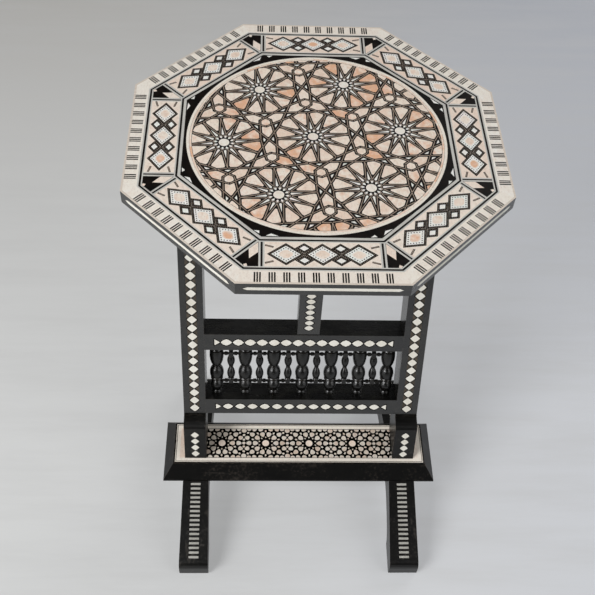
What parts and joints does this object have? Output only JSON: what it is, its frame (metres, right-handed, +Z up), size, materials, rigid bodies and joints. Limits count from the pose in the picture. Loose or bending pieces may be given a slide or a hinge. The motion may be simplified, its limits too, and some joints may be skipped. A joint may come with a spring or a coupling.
{
  "type": "tilt-top side table",
  "caption": "Octagonal tilt-top side table with star marquetry, raked posts, an upright prop, a turned spindle gallery and arched sled feet.",
  "frame": {"origin": "bottom centre of the whole table's bounding box, on the floor", "axes": "+X to the right seen from the front, +Y to the back, +Z up; the raked posts lean towards +Y"},
  "size_m": [0.4, 0.4478, 0.585],
  "materials": {
    "black_wood": "satin black lacquer",
    "bone": "polished bone",
    "shell": "polished shell marquetry",
    "iron": "plain screws and pins",
    "plain_wood": "unfinished"
  },
  "bodies": {
    "stand": {"foot_left": "black_wood", "foot_right": "black_wood", "foot_bars": "bone", "plinth_board": "black_wood", "plinth_moulding_front": "black_wood", "plinth_moulding_back": "black_wood", "plinth_moulding_left": "black_wood", "plinth_moulding_right": "black_wood", "plinth_border": "shell", "plinth_star_panel": "shell", "shoe_left": "black_wood", "shoe_right": "black_wood", "shoe_lozenges": "bone", "post_left": "black_wood", "post_right": "black_wood", "post_lozenges": "bone", "upper_rail": "black_wood", "upper_rail_lozenges": "bone", "lower_rail": "black_wood", "lower_rail_lozenges": "bone", "head_rail": "black_wood", "centre_prop": "black_wood", "prop_lozenges": "bone", "tall_spindle_1": "black_wood", "tall_spindle_2": "black_wood", "tall_spindle_3": "black_wood", "tall_spindle_4": "black_wood", "tall_spindle_5": "black_wood", "tall_spindle_6": "black_wood", "tall_spindle_7": "black_wood", "short_spindle_1": "black_wood", "short_spindle_2": "black_wood", "short_spindle_3": "black_wood", "short_spindle_4": "black_wood", "short_spindle_5": "black_wood", "short_spindle_6": "black_wood", "upper_rods": "black_wood", "lower_rods": "black_wood", "post_dowels": "plain_wood", "foot_screws": "iron", "pivot_pins": "iron"},
    "top": {"top_board": "black_wood", "rim_strips": "bone", "border_veneer": "shell", "outer_stringing": "black_wood", "panel_veneers": "shell", "corner_fields": "black_wood", "inner_stringing": "bone", "spandrels": "black_wood", "medallion_ring": "bone", "star_medallion": "shell", "batten_left": "black_wood", "batten_right": "black_wood", "batten_screws": "iron", "keeper_block": "black_wood", "button_screw": "iron"},
    "catch": {"turn_button": "black_wood"}
  },
  "joints": [
    {"name": "top_tilt", "type": "hinge", "parent": "stand", "child": "top", "pos_m": [0, 0.10574, 0.5465], "axis": [-1, 0, 0], "range_deg": [0, 90]},
    {"name": "catch_turn", "type": "hinge", "parent": "top", "child": "catch", "pos_m": [0.046, 0.00045, 0.5436], "axis": [0, 0, 1], "range_deg": [0, 90]}
  ]
}
